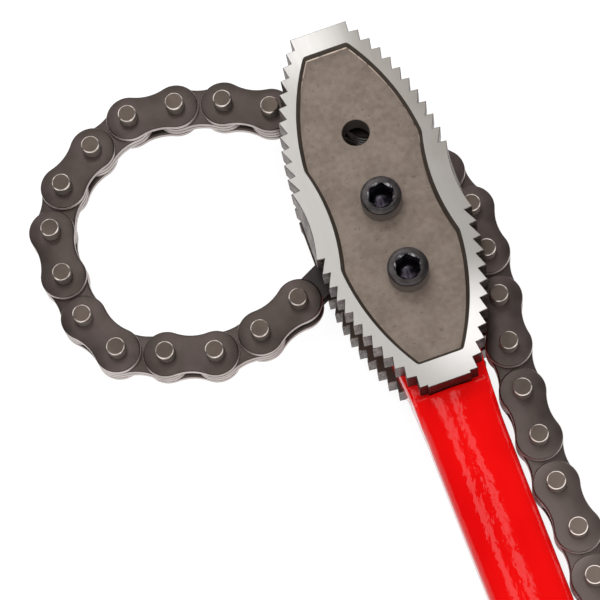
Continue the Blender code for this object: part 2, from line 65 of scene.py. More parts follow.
# Studio
# The tool lies on a white table in a bright cove, under two long lamps and a small one. Level metal mirrors
# the cove's one dark strip overhead. The table reads as pure white and takes a soft shadow.
WHITE = (1, 1, 1, 1)
COVE_WHITE = (1.22, 1.22, 1.22, 1)
STRIP_GREY = (0.10, 0.10, 0.105, 1)
STRIP_NORTH = 0.20
STRIP_EDGES = (0.13, 0.27)
STRIP_FOOT = (-0.02, 0.14)
TABLE_HALF = 3.0
TABLE_SINK = 0.0001
TABLE_GREY = (0.33, 0.33, 0.33, 1)
TABLE_GLOW = 0.80
LAMP_HEIGHT = 1.055


class Link:
    """The output of a node in a material. Arithmetic on it adds Math nodes to the same tree."""

    def __init__(self, tree, socket):
        self.tree = tree
        self.socket = socket

    def math(self, operation, *values):
        """A Math node that works this operation on the values."""
        maths = self.tree.nodes.new("ShaderNodeMath")
        maths.operation = operation
        for socket, value in zip(maths.inputs, values):
            feed(self.tree, socket, value)
        return Link(self.tree, maths.outputs[0])

    def __add__(self, other):
        return self.math("ADD", self, other)

    def __sub__(self, other):
        return self.math("SUBTRACT", self, other)

    def __rsub__(self, other):
        return self.math("SUBTRACT", other, self)

    def __mul__(self, other):
        return self.math("MULTIPLY", self, other)

    def __abs__(self):
        return self.math("ABSOLUTE", self)

    def between(self, low, high):
        """0 at low, 1 at high, and a smooth change between them, whichever of the two is the larger."""
        ramp = self.tree.nodes.new("ShaderNodeMapRange")
        ramp.interpolation_type = "SMOOTHSTEP"
        for name, value in (("Value", self), ("From Min", low), ("From Max", high)):
            feed(self.tree, ramp.inputs[name], value)
        return Link(self.tree, ramp.outputs[0])


def feed(tree, socket, value):
    """Puts a number, a colour or another node's output into a socket."""
    if isinstance(value, Link):
        tree.links.new(value.socket, socket)
    else:
        socket.default_value = value


class Tree:
    """The nodes of one material or of the world."""

    def __init__(self, owner):
        owner.use_nodes = True
        self.tree = owner.node_tree

    def node(self, kind, settings=(), sockets=(), output=0):
        """A node of this type: its settings first, then the values or links of its sockets."""
        made = self.tree.nodes.new("ShaderNode" + kind)
        for name, value in dict(settings).items():
            setattr(made, name, value)
        for name, value in dict(sockets).items():
            feed(self.tree, made.inputs[name], value)
        return Link(self.tree, made.outputs[output])

    def mixed(self, share, first, second):
        """The first colour where share is 0 and the second where it is 1."""
        return self.node("Mix", {"data_type": "RGBA"}, {0: share, 6: first, 7: second}, 2)

    def end(self, kind, shade):
        """Ends the tree in an output of this type, fed by a shader."""
        feed(self.tree, self.tree.nodes.new("ShaderNode" + kind).inputs[0], shade)


world = bpy.data.worlds.new("studio cove")
bpy.context.scene.world = world
cove = Tree(world)
cove.tree.nodes.clear()
direction = cove.node("TexCoord", (), (), "Generated")
northward = cove.node("SeparateXYZ", (), {0: direction}, "Y")
upward = cove.node("SeparateXYZ", (), {0: direction}, "Z")
off_strip = abs(northward - STRIP_NORTH).between(*STRIP_EDGES)
dark_strip = upward.between(*STRIP_FOOT) * (1 - off_strip)
cove_light = cove.mixed(dark_strip, COVE_WHITE, STRIP_GREY)
cove_seen = cove.mixed(cove.node("LightPath", (), (), "Is Camera Ray"), cove_light, WHITE)
cove.end("OutputWorld", cove.node("Background", (), {"Color": cove_seen, "Strength": 1.0}))

table_mesh = bpy.data.meshes.new("table")
table_corners = np.array([(-1, -1, 0), (1, -1, 0), (1, 1, 0), (-1, 1, 0)]) * TABLE_HALF
table_mesh.from_pydata((table_corners - (0, 0, TABLE_SINK)).tolist(), [], [(0, 1, 2, 3)])
table = bpy.data.objects.new("table", table_mesh)
bpy.context.scene.collection.objects.link(table)
table_paint = bpy.data.materials.new("white table")
table_mesh.materials.append(table_paint)
paint = Tree(table_paint)
paint.tree.nodes.clear()
camera_rays, glossy_rays, clear_rays = (
    paint.node("LightPath", (), (), f"Is {kind} Ray") for kind in ("Camera", "Glossy", "Transmission"))
white_rays = camera_rays.math("MINIMUM", camera_rays + glossy_rays + clear_rays, 1)
table_glow = paint.node("Emission", (), {"Color": WHITE, "Strength": white_rays * TABLE_GLOW})
table_matt = paint.node("BsdfDiffuse", (), {"Color": TABLE_GREY})
paint.end("OutputMaterial", paint.node("AddShader", (), {0: table_glow, 1: table_matt}))


def hang_lamp(name, place, across, along, watts, turn=0.0):
    """A flat lamp, hung level and turned about Z, that shines straight down and isn't seen itself."""
    lamp = bpy.data.objects.new(name, bpy.data.lights.new(name, "AREA"))
    lamp.data.shape = "RECTANGLE"
    lamp.data.size = across
    lamp.data.size_y = along
    lamp.data.energy = watts
    lamp.location = (*place, LAMP_HEIGHT)
    lamp.rotation_euler.z = math.radians(turn)
    lamp.visible_camera = False
    bpy.context.scene.collection.objects.link(lamp)


hang_lamp("right lamp", (0.075, 0.09), across=0.105, along=1.1, watts=0.89)
hang_lamp("left lamp", (-0.235, 0.10), across=0.22, along=1.1, watts=1.85, turn=-10)
hang_lamp("north lamp", (-0.03, 0.58), across=0.15, along=0.15, watts=0.75)

# Jaw plates
# Two drop-forged plates of tool steel, alike and mirrored, with teeth cut into both long sides. Their rims
# are ground bright, and the recess inside the rim keeps its dull forged skin. Bolts clamp them together.
JAW_THICK = 0.0150
JAW_HALF_LENGTH = 0.1003
JAW_EDGE = 0.0003
TOOTH_ARC_X = -0.10195
TOOTH_ARC_Y = 0.0172
TOOTH_ARC_RADIUS = 0.14375
TOOTH_TIP_LEVELS = np.array((19.1, 27.3, 35.4, 43.2, 50.9, 58.5, 65.8, 73.0, 80.0, 86.8, 93.5)) / 1000
TOOTH_DEPTH = 0.0042
TOOTH_LEAN = 0.0005
END_BOSS_HALF_WIDTH = 0.0113
END_BOSS_HEIGHT = 0.00125
WAIST_HALF_WIDTH = 0.0391
WAIST_DRAFT = 0.0025
RECESS_HALF_WAIST = 0.0280
RECESS_SHOULDER = np.array((0.0318, 0.0285))
RECESS_NOSE = np.array((0.0119, 0.0886))
RECESS_BULGE = 0.0040
RECESS_SOFTNESS = 0.00088
RECESS_SPACING = 0.0007
RECESS_FLOOR = 0.0120
RECESS_WALL = ((0.0001, JAW_THICK), (0.0, JAW_THICK - 0.0001), (-0.0014, 0.0125), (-0.00162, 0.01222),
               (-0.0019, RECESS_FLOOR))
HOLE_SPACING = 0.0406
BOLT_LEVELS = (HOLE_SPACING, 0.0, -HOLE_SPACING)
BOLT_HOLE_RADIUS = 0.0072
BOLT_HOLE_WALL = ((0.00025, RECESS_FLOOR), (0.0, 0.01175), (0.0, 0.0004), (0.0004, 0.0))
ROUND_STEPS = 72
WELD = 2e-7
PIECE_CREASE = math.radians(30)


def ring(centre, radius, steps):
    """Points on a circle: x = centre + radius cos a, y = centre + radius sin a, anticlockwise."""
    angle = np.linspace(0, 2 * math.pi, steps, endpoint=False)
    return np.stack([centre[0] + radius * np.cos(angle), centre[1] + radius * np.sin(angle)], 1)


def outward(loop):
    """At each corner the sum of its two edges' normals over one plus their cosine, so that moving along
    it by a distance moves both edges by that distance."""
    ahead = np.roll(loop, -1, 0) - loop
    ahead /= np.linalg.norm(ahead, axis=1)[:, None]
    behind = np.roll(ahead, 1, 0)
    total = np.stack([ahead[:, 1] + behind[:, 1], -ahead[:, 0] - behind[:, 0]], 1)
    return total / (1 + (ahead * behind).sum(1))[:, None]


def carried(loop, profile):
    """A profile of (outward shift, level) points carried round a loop: one ring of points for each."""
    normals = outward(loop)
    rings = [np.c_[loop + shift * normals, np.full(len(loop), level)] for shift, level in profile]
    return np.array(rings)


def skin(rings):
    """Quads between rings of points that each close on themselves."""
    rows, steps = rings.shape[:2]
    index = np.arange(rows * steps).reshape(rows, steps)
    beside = np.roll(index, -1, 1)
    quads = np.stack([index[:-1], beside[:-1], beside[1:], index[1:]], -1)
    return rings.reshape(-1, 3), quads.reshape(-1, 4).tolist()


def within(places, loop):
    """Whether each place lies inside a loop: a ray to the right crosses the loop an odd number of times."""
    x, y = places[:, None, 0], places[:, None, 1]
    ahead = np.roll(loop, -1, 0)
    run, rise = (ahead - loop)[:, 0], (ahead - loop)[:, 1]
    straddles = (loop[:, 1] > y) != (ahead[:, 1] > y)
    crossing = loop[:, 0] + (y - loop[:, 1]) * run / np.where(rise == 0, 1, rise)
    return (straddles & (x < crossing)).sum(1) % 2 == 1


def lid(rings, up):
    """A flat face bounded by the first ring, with the other rings as holes, facing up or down: the
    Delaunay triangles of all the rings' points, less those with a centre inside a hole."""
    points = np.concatenate(rings)
    ends = np.cumsum([len(ring_points) for ring_points in rings])
    edges = [(i, i + 1) for i in range(ends[-1])]
    for start, end in zip((0, *ends), ends):
        edges[end - 1] = (int(end) - 1, int(start))
    places, _, corners, *_ = geometry.delaunay_2d_cdt([Vector(p[:2]) for p in points], edges, [], 1, 1e-9)
    places, corners = np.array(places), np.array(corners)
    centres = places[corners].mean(1)
    for hole in rings[1:]:
        corners, centres = (kept[~within(centres, hole[:, :2])] for kept in (corners, centres))
    if not up:
        corners = corners[:, ::-1]
    return np.c_[places, np.full(len(places), points[0, 2])], corners.tolist()


def assembled(patches):
    """The patches' points and faces in one pair of lists, with each patch's number for its faces."""
    points, faces, numbers = [], [], []
    start = 0
    for number, (patch_points, patch_faces) in enumerate(patches):
        points.append(np.asarray(patch_points, float))
        faces += [tuple(start + i for i in face) for face in patch_faces]
        numbers += [number] * len(patch_faces)
        start += len(patch_points)
    return np.concatenate(points), faces, np.array(numbers)


def weld(mesh, face_outwards=False):
    """Joins a mesh's patches along their seams, and turns its faces outwards where that is asked for."""
    form = bmesh.new()
    form.from_mesh(mesh)
    bmesh.ops.remove_doubles(form, verts=form.verts, dist=WELD)
    if face_outwards:
        bmesh.ops.recalc_face_normals(form, faces=form.faces)
    form.to_mesh(mesh)
    form.free()


def smooth(mesh, crease):
    """Shades a mesh smooth, but for the edges that turn by more than the crease angle."""
    mesh.polygons.foreach_set("use_smooth", np.ones(len(mesh.polygons), bool))
    mesh.set_sharp_from_angle(angle=crease)


def show(name, patches, finishes, patch_finishes, body, nodes, matrix=None):
    """Makes a piece from patches, each with the finish of its number, and sets it on its body in place of
    its CAD nodes."""
    points, faces, numbers = assembled(patches)
    mesh = bpy.data.meshes.new(name)
    mesh.from_pydata(points.tolist(), [], faces)
    for finish in finishes:
        mesh.materials.append(finish.material)
    chosen = np.array(patch_finishes)[numbers] if patch_finishes else np.zeros(len(faces), int)
    mesh.polygons.foreach_set("material_index", chosen.astype(np.int32))
    weld(mesh)
    if matrix is not None:
        mesh.transform(matrix)
    smooth(mesh, PIECE_CREASE)
    piece = bpy.data.objects.new(name, mesh)
    bpy.context.scene.collection.objects.link(piece)
    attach(piece, body)
    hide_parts(*nodes)


def rounded(loop, softness, spacing):
    """The loop at even steps, each point the mean of its neighbours weighted by exp(-d^2 / 2 softness^2)."""
    closed = np.vstack([loop, loop[:1]])
    reach = np.r_[0, np.cumsum(np.linalg.norm(np.diff(closed, axis=0), axis=1))]
    count = int(reach[-1] / spacing)
    even = np.linspace(0, reach[-1], count, endpoint=False)
    dense = np.stack([np.interp(even, reach, closed[:, i]) for i in (0, 1)], 1)
    apart = np.minimum(even, reach[-1] - even)
    weight = np.exp(-((apart / softness) ** 2) / 2)
    spectrum = np.fft.fft(weight / weight.sum())
    return np.stack([np.fft.ifft(np.fft.fft(dense[:, i]) * spectrum).real for i in (0, 1)], 1)


def four_way(quarter):
    """A whole outline from the quarter that runs from the X axis to the far end, mirrored both ways."""
    right = np.vstack([quarter[:0:-1] * (1, -1), quarter])
    return np.vstack([right, right[::-1] * (-1, 1)])


def tooth_line():
    """The jaw's right side above its waist: x = xc + sqrt(R^2 - (y - yc)^2) at each tip, and each root
    lies the tooth's depth inwards, square to the tips' arc, at nearly the tip's own level."""
    tip_y = np.r_[TOOTH_TIP_LEVELS, JAW_HALF_LENGTH]
    cosine = np.sqrt(1 - ((tip_y - TOOTH_ARC_Y) / TOOTH_ARC_RADIUS) ** 2)
    tip_x = TOOTH_ARC_X + TOOTH_ARC_RADIUS * cosine
    root = np.stack([tip_x - TOOTH_DEPTH / cosine, tip_y + TOOTH_LEAN], 1)[:-1]
    line = np.empty((2 * len(root) + 1, 2))
    line[0::2] = np.stack([tip_x, tip_y], 1)
    line[1::2] = root
    return line


def jaw_outline():
    """The jaw's outline: x = waist + (y / y1)^2 (x1 - waist) up to the first tooth, then the teeth, mirrored
    four ways, and a low boss at the end by the handle."""
    teeth = tooth_line()
    levels = np.linspace(0, TOOTH_TIP_LEVELS[0], 9)[:-1]
    share = (levels / TOOTH_TIP_LEVELS[0]) ** 2
    waist = np.stack([WAIST_HALF_WIDTH + share * (teeth[0, 0] - WAIST_HALF_WIDTH), levels], 1)
    boss = np.array(((-1, 0), (-1, -1), (1, -1), (1, 0))) * (END_BOSS_HALF_WIDTH, END_BOSS_HEIGHT)
    return np.vstack([four_way(np.vstack([waist, teeth])), boss - (0, JAW_HALF_LENGTH)])


def drafted(loop):
    """The jaw's outline at its foot, where the waist stands out by draft (1 - (y / y1)^2)."""
    on_waist = np.abs(loop[:, 1]) < TOOTH_TIP_LEVELS[0] - 1e-6
    draft = np.where(on_waist, WAIST_DRAFT * (1 - (loop[:, 1] / TOOTH_TIP_LEVELS[0]) ** 2), 0)
    return loop + np.stack([np.sign(loop[:, 0]) * draft, np.zeros(len(loop))], 1)


def recess_quarter():
    """A quarter of the recess: x = waist + (y / y1)^2 (x1 - waist) up to its shoulder, then a line to its
    nose that bulges outwards by 4 b t (1 - t) at the share t of its length."""
    run = RECESS_NOSE - RECESS_SHOULDER
    share = np.linspace(0, 1, 24)[:, None]
    bulge = 4 * RECESS_BULGE * share * (1 - share) * np.array((run[1], -run[0])) / np.linalg.norm(run)
    levels = np.linspace(0, RECESS_SHOULDER[1], 14)[:-1]
    widening = (levels / RECESS_SHOULDER[1]) ** 2 * (RECESS_SHOULDER[0] - RECESS_HALF_WAIST)
    hollow = np.stack([RECESS_HALF_WAIST + widening, levels], 1)
    return np.vstack([hollow, RECESS_SHOULDER + share * run + bulge])


jaw_loop = jaw_outline()
jaw_foot = drafted(jaw_loop)
recess_loop = rounded(four_way(recess_quarter()), RECESS_SOFTNESS, RECESS_SPACING)


def jaw_patches(mirrored):
    """The plate with its clamping face at level 0: side, rim, recess wall and its foot, recess floor, back,
    and then each hole in two parts."""
    side = np.concatenate([
        carried(jaw_foot, [(-JAW_EDGE, 0.0), (0.0, JAW_EDGE)]),
        carried(jaw_loop, [(0.0, JAW_THICK - JAW_EDGE), (-JAW_EDGE, JAW_THICK)]),
    ])
    wall = carried(recess_loop, RECESS_WALL)
    holes = [ring((0, level), BOLT_HOLE_RADIUS, ROUND_STEPS) for level in BOLT_LEVELS]
    bores = [carried(hole, BOLT_HOLE_WALL) for hole in holes]
    patches = [
        skin(side),
        lid([side[-1], wall[0]], True),
        skin(wall[:3]),
        skin(wall[2:]),
        lid([wall[-1], *[bore[0] for bore in bores]], True),
        lid([side[0], *[bore[-1] for bore in bores]], False),
    ]
    for bore in bores:
        patches += [skin(bore[:2]), skin(bore[1:])]
    if not mirrored:
        return patches
    return [(points * (1, 1, -1), [face[::-1] for face in faces]) for points, faces in patches]


def colour(red, green, blue):
    """A colour as it shows on a screen, 0 to 255, made linear."""
    shares = np.array((red, green, blue)) / 255
    linear = np.where(shares < 0.04045, shares / 12.92, ((shares + 0.055) / 1.055) ** 2.4)
    return (*linear.tolist(), 1)


class Finish(Tree):
    """A Principled material whose patterns read the points of the part's own frame."""

    def __init__(self, name, metallic=1.0):
        self.material = bpy.data.materials.new(name)
        super().__init__(self.material)
        self.shader = self.tree.nodes["Principled BSDF"]
        self.points = self.node("TexCoord", (), (), "Object")
        self.give("Metallic", metallic)

    def give(self, socket, value):
        """Sets one of the shader's sockets, or feeds it what the nodes work out."""
        feed(self.tree, self.shader.inputs[socket], value)

    def noise(self, size, detail=3, stretch=(1, 1, 1)):
        """Cloudy noise, 0 to 1, with lumps of about this size in metres, drawn out along an axis."""
        scaled = self.node("Mapping", (), {"Vector": self.points, "Scale": stretch})
        return self.node("TexNoise", (), {"Vector": scaled, "Scale": 1 / size, "Detail": detail})

    def along(self, axis):
        """How far each point lies along X, Y or Z."""
        return self.node("SeparateXYZ", (), {0: self.points}, axis)

    def measure(self, operation, place, points=None):
        """One number a point: its dot product with a direction, or its distance from a place."""
        sockets = {0: points or self.points, 1: place}
        return self.node("VectorMath", {"operation": operation}, sockets, "Value")

    def bump(self, height, depth):
        """Raises the surface by this height times a depth in metres."""
        self.give("Normal", self.node("Bump", (), {"Height": height, "Distance": depth, "Strength": 1.0}))


# Painted highlights on the rim's corners: each one's place, how far it reaches, where it is full, and its
# colour.
RIM_HIGHLIGHT_CORNERS = (
    ((0.0210, -0.0800, 0), 0.042, 0.004, colour(228, 225, 222)),
    ((-0.0095, 0.0950, 0), 0.031, 0.002, colour(202, 199, 196)),
)
ground_steel = Finish("ground rim steel", 0.6)
scratches = ground_steel.noise(0.0006, 2, (1.0, 0.05, 1.0))
# Painted shade: the rim darkens towards its right side, most at the upper right, with a little noise in the
# change.
to_corner = ground_steel.measure("DOT_PRODUCT", (1.0, 0.25, 0.0))
rim_shade_share = (to_corner + ground_steel.noise(0.018) * 0.03).between(0.035, 0.085)
# Painted shade: the rim goes a little darker from its left side to its right.
side_shade_share = ground_steel.along("X").between(-0.025, 0.030)
side_shaded_rim = ground_steel.mixed(side_shade_share, colour(166, 163, 159), colour(149, 145, 141))
rim_colour = ground_steel.mixed(rim_shade_share, side_shaded_rim, colour(130, 124, 117))
flattened = ground_steel.node("VectorMath", {"operation": "MULTIPLY"}, {0: ground_steel.points, 1: (1, 1, 0)})
# The rim is painted brighter at these corners, as a painted highlight.
for corner, wide, narrow, highlight_colour in RIM_HIGHLIGHT_CORNERS:
    to_highlight = ground_steel.measure("DISTANCE", corner, flattened)
    rim_colour = ground_steel.mixed(to_highlight.between(wide, narrow), rim_colour, highlight_colour)
ground_steel.give("Base Color", rim_colour)
ground_steel.give("Roughness", scratches * 0.16 + 0.32)
ground_steel.bump(scratches, 0.00002)

forged_skin = Finish("forged recess skin", 0.5)
grain = forged_skin.noise(0.0011, 4)
stain = forged_skin.noise(0.016)
mottle = forged_skin.noise(0.0032, 4)
pits = forged_skin.noise(0.0021, 2).between(0.64, 0.72)
skin_share = (stain + mottle).between(0.7, 1.3)
skin_colour = forged_skin.mixed(skin_share, colour(109, 96, 87), colour(125, 112, 101))
forged_skin.give("Base Color", forged_skin.mixed(pits * 0.5, skin_colour, colour(84, 72, 64)))
forged_skin.give("Roughness", grain * 0.2 + 0.42)
forged_skin.bump(grain + stain * 0.5 - pits * 0.4, 0.00011)

cut_steel = Finish("cut tooth steel")
cutter_marks = cut_steel.noise(0.0005, 3, (1.0, 1.0, 0.12))
tarnish = cut_steel.noise(0.006)
speckle = cut_steel.noise(0.0011, 2)
tooth_share = (tarnish + speckle).between(0.80, 1.20)
tooth_colour = cut_steel.mixed(tooth_share, colour(66, 58, 55), colour(124, 114, 110))
# Painted shade: the cut sides darken towards the jaw's end by the handle.
shaded_end = cut_steel.along("Y").between(-0.0885, -0.0945)
cut_steel.give("Base Color", cut_steel.mixed(shaded_end * 0.75, tooth_colour, colour(50, 41, 37)))
cut_steel.give("Roughness", cutter_marks * 0.25 + 0.3)
cut_steel.bump(cutter_marks, 0.00004)

# Scale painted dark for the shade on the recess wall, the clamping face and the bores' walls.
shade_dark_scale = Finish("dark forging scale", 0.4)
patches_of_scale = shade_dark_scale.noise(0.007)
shade_dark_scale.give("Base Color", shade_dark_scale.mixed(patches_of_scale, colour(46, 38, 32), colour(74, 64, 56)))
shade_dark_scale.give("Roughness", 0.55)
shade_dark_scale.bump(shade_dark_scale.noise(0.0009), 0.00006)

# A painted highlight on the foot of the recess wall, brightest towards the upper right and broken up by
# noise.
foot_highlight = Finish("worn recess foot")
nicks = foot_highlight.noise(0.004)
to_nose = foot_highlight.measure("DOT_PRODUCT", (1.0, 1.0, 0.0))
highlight_share = to_nose.between(0.046, 0.062) * nicks.between(0.25, 0.5)
foot_highlight.give("Base Color", foot_highlight.mixed(highlight_share, colour(96, 84, 76), colour(206, 189, 174)))
foot_highlight.give("Roughness", nicks * 0.2 + 0.25)

jaw_finishes = [ground_steel, forged_skin, cut_steel, shade_dark_scale, foot_highlight]
# The recess wall, the clamping face and the bores' walls take the scale painted dark for shade; the foot of
# the recess wall takes its painted highlight.
jaw_order = [2, 0, 3, 4, 1, 3] + [1, 3] * len(BOLT_LEVELS)
front_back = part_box("jaw_front")[0].z
rear_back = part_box("jaw_rear")[1].z
show("front_jaw", jaw_patches(False), jaw_finishes, jaw_order, "frame", ["jaw_front"],
     matrix=Matrix.Translation((0, 0, front_back)))
show("rear_jaw", jaw_patches(True), jaw_finishes, jaw_order, "frame", ["jaw_rear"],
     matrix=Matrix.Translation((0, 0, rear_back)))

# Bolts and nuts
# Socket-head screws of blackened alloy steel go down through the front jaw, the handle and the rear jaw
# into plain hexagon nuts. The socket is broached, with a turned countersink at its mouth.
BOLT_RADIUS = 0.0067
BOLT_TIP = 0.0012
CLEAR_RADIUS = BOLT_RADIUS + 0.0003
HEAD_RADIUS = 0.0105
HEAD_HEIGHT = 0.0105
HEAD_ROLL = 0.0011
HEAD_ROLL_MIDDLE = 0.0003
HEAD_FOOT = 0.0004
KEY_APOTHEM = 0.0060
KEY_DEPTH = 0.0073
KEY_FLOOR = ((0.0, 0.0062), (0.0015, 0.006275), (0.0030, 0.0065), (0.0046, 0.0069))
KEY_TURNS = (8.0, 18.0)
MOUTH_RADIUS = 0.0071
MOUTH_SLOPE = 0.9
NUT_APOTHEM = 0.0110
NUT_FACE_RADIUS = NUT_APOTHEM - 0.0002
NUT_SLOPE = 0.58
NUT_MOUTH = 0.0008


def hexagon(apothem, turn):
    """Distance from the centre to a hexagon's side: apothem / cos of the angle to the side's middle."""
    angle = np.linspace(0, 2 * math.pi, ROUND_STEPS, endpoint=False)
    to_side = (angle - turn) % (math.pi / 3) - math.pi / 6
    return apothem / np.cos(to_side)


def turned(rows, centre, steps=ROUND_STEPS):
    """Rings about an upright axis from rows of (radius, level), each a number or one value a step."""
    angle = np.linspace(0, 2 * math.pi, steps, endpoint=False)
    rings = []
    for radius, level in rows:
        radius = np.broadcast_to(radius, steps)
        x, y = centre[0] + radius * np.cos(angle), centre[1] + radius * np.sin(angle)
        rings.append(np.stack([x, y, np.broadcast_to(level, steps)], 1))
    return np.array(rings)


black_steel = Finish("blackened screw steel")
oil = black_steel.noise(0.004)
screw_colour = black_steel.mixed(oil.between(0.3, 0.7), colour(50, 47, 47), colour(66, 62, 62))
black_steel.give("Base Color", screw_colour)
black_steel.give("Roughness", oil * 0.12 + 0.24)
black_steel.bump(black_steel.noise(0.0015, 2), 0.000012)

# The head's side keeps its lathe marks and is painted lighter than the top, as a painted reflection of the
# floor below.
lit_head_side = Finish("turned head side", 0.6)
lathe_marks = lit_head_side.noise(0.0012, 3, (0.2, 0.2, 3.0))
lit_head_side.give("Base Color", lit_head_side.mixed(lathe_marks, colour(90, 82, 79), colour(116, 107, 103)))
lit_head_side.give("Roughness", 0.35)
lit_head_side.bump(lathe_marks, 0.00002)

bright_chamfer = Finish("bright socket mouth")
rub = bright_chamfer.noise(0.0025)
mouth_colour = bright_chamfer.mixed(rub.between(0.46, 0.70), colour(56, 54, 57), colour(158, 155, 157))
bright_chamfer.give("Base Color", mouth_colour)
bright_chamfer.give("Roughness", rub * 0.2 + 0.12)

# The socket's floor is painted darker than the screw's steel, as painted shade at the bottom of the socket.
shaded_socket_floor = Finish("oiled socket floor")
film = shaded_socket_floor.noise(0.003, 2)
shaded_socket_floor.give("Base Color", shaded_socket_floor.mixed(film, colour(26, 24, 30), colour(58, 54, 62)))
shaded_socket_floor.give("Roughness", film * 0.12 + 0.12)

screw_finishes = [black_steel, bright_chamfer, lit_head_side, shaded_socket_floor]
# The rows of the screw's profile that each patch spans, and its finish: floor of the socket, its wall, its
# mouth, top of the head, side of the head, and the shank.
SCREW_SPANS = ((0, 5, 3), (4, 6, 0), (5, 7, 1), (6, 10, 0), (9, 12, 2), (11, 16, 0))
for where, level, key_turn in zip(("middle", "lower"), BOLT_LEVELS[1:], KEY_TURNS):
    centre = (0, level)
    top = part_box("bolt_" + where)[1].z
    seat = top - HEAD_HEIGHT
    key = hexagon(KEY_APOTHEM, math.radians(key_turn))
    rows = [(radius, top - depth) for radius, depth in KEY_FLOOR]
    rows += [
        (key, top - KEY_DEPTH), (key, top - (MOUTH_RADIUS - key) * MOUTH_SLOPE), (MOUTH_RADIUS, top),
        (HEAD_RADIUS - HEAD_ROLL, top), (HEAD_RADIUS - HEAD_ROLL_MIDDLE, top - HEAD_ROLL_MIDDLE),
        (HEAD_RADIUS, top - HEAD_ROLL), (HEAD_RADIUS, seat + HEAD_FOOT), (HEAD_RADIUS - HEAD_FOOT, seat),
        (BOLT_RADIUS, seat), (BOLT_RADIUS, BOLT_TIP), (BOLT_RADIUS - BOLT_TIP, 0.0), (0.0, 0.0),
    ]
    rings = turned(rows, centre)
    patches = [skin(rings[first:last][::-1]) for first, last, _ in SCREW_SPANS]
    show("screw_" + where, patches, screw_finishes, [finish for *_, finish in SCREW_SPANS], "frame",
         ["bolt_" + where])
    nut_low, nut_high = (corner.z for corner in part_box("nut_" + where))
    corners = hexagon(NUT_APOTHEM, 0.0)
    cone = np.maximum(corners - NUT_FACE_RADIUS, 0) * NUT_SLOPE
    rows = [
        (CLEAR_RADIUS, nut_high - NUT_MOUTH), (CLEAR_RADIUS + NUT_MOUTH, nut_high),
        (NUT_FACE_RADIUS, nut_high), (corners, nut_high - cone),
        (corners, nut_low + cone), (NUT_FACE_RADIUS, nut_low),
        (CLEAR_RADIUS + NUT_MOUTH, nut_low), (CLEAR_RADIUS, nut_low + NUT_MOUTH),
        (CLEAR_RADIUS, nut_high - NUT_MOUTH),
    ]
    show("hexagon_nut_" + where, [skin(turned(rows, centre)[::-1])], [black_steel], None, "frame",
         ["nut_" + where])

# Leaf chain
# Each link is a pair of hollow-waisted plates punched from strip, and the pairs lie alternately inside and
# outside. Hardened pins are pressed through the outer plates, and the inner plates turn on them.
PITCH = 0.0254
LAST_HEADING = -92.5
END_RADIUS = 0.01205
HALF_WAIST = 0.00975
PLATE = 0.0032
PLATE_LOWER_EDGE = ((-0.0003, 0.0), (-0.00008, 0.00012), (0.0, 0.0004))
PLATE_UPPER_EDGE = ((0.0, -0.0010), (-0.00015, -0.00055), (-0.00045, -0.0002), (-0.0010, 0.0))
PLATE_HOLE_MOUTH = 0.0001
PLATE_HOLE_FOOT = 0.0002
INNER_LEVEL = 0.00008
OUTER_LEVEL = 0.00365
PIN_RADIUS = 0.00485
PIN_FIT = 0.00002
PIN_HALF = 0.0136
PIN_END = ((0.0, 0.0001), (PIN_RADIUS - 0.0006, 0.0), (PIN_RADIUS - 0.00015, 0.0003), (PIN_RADIUS, 0.0007))
PIN_STEPS = 48
MIDDLE = frame["joints"][0]["pos_m"][2]

pin_places = np.array([joint["pos_m"][:2] for joint in frame["joints"][1:]])
last_angle = math.radians(LAST_HEADING)
last_step = PITCH * np.array((math.cos(last_angle), math.sin(last_angle)))
pin_places = np.vstack([pin_places, pin_places[-1] + last_step])


def link_loop():
    """Two circles of the end radius a pitch apart, joined by hollow arcs tangent to both: the arc's centre
    lies drop below the middle line, where (r + R)^2 = (pitch / 2)^2 + drop^2 and drop - r = half waist."""
    reach = PITCH / 2
    radius = (reach**2 + HALF_WAIST**2 - END_RADIUS**2) / (2 * (END_RADIUS - HALF_WAIST))
    drop = radius + HALF_WAIST
    opening = math.atan2(drop, reach)
    end = np.linspace(opening - math.pi, math.pi - opening, 29)
    right = np.stack([PITCH + END_RADIUS * np.cos(end), END_RADIUS * np.sin(end)], 1)
    hollow_arc = np.linspace(-opening, opening - math.pi, 12)[1:-1]
    upper = np.stack([reach + radius * np.cos(hollow_arc), drop + radius * np.sin(hollow_arc)], 1)
    return np.vstack([right, upper, (PITCH, 0) - right, (PITCH, 0) - upper])


link_outline = link_loop()


def plate_patches(low, high, holes=True):
    """A punched plate between two levels: its upper edge is rolled over and its lower edge is sharp."""
    profile = [(shift, low + rise) for shift, rise in PLATE_LOWER_EDGE]
    profile += [(shift, high + rise) for shift, rise in PLATE_UPPER_EDGE]
    side = carried(link_outline, profile)
    bore_profile = [(PLATE_HOLE_MOUTH, high), (0.0, high - PLATE_HOLE_MOUTH), (0.0, low + PLATE_HOLE_FOOT),
                    (PLATE_HOLE_FOOT, low)]
    hole_places = ((0, 0), (PITCH, 0)) if holes else ()
    bores = [carried(ring(place, PIN_RADIUS + PIN_FIT, PIN_STEPS), bore_profile) for place in hole_places]
    return [
        skin(side[:5]),
        skin(side[4:]),
        lid([side[-1], *[bore[0] for bore in bores]], True),
        lid([side[0], *[bore[-1] for bore in bores]], False),
        *[skin(bore) for bore in bores],
    ]


def both_edges(edge, half):
    """A profile from its lower edge, as rows of (first value, rise from the edge), and the same mirrored
    about level 0 for its upper edge."""
    lower = [(value, rise - half) for value, rise in edge]
    return lower + [(value, half - rise) for value, rise in edge[::-1]]


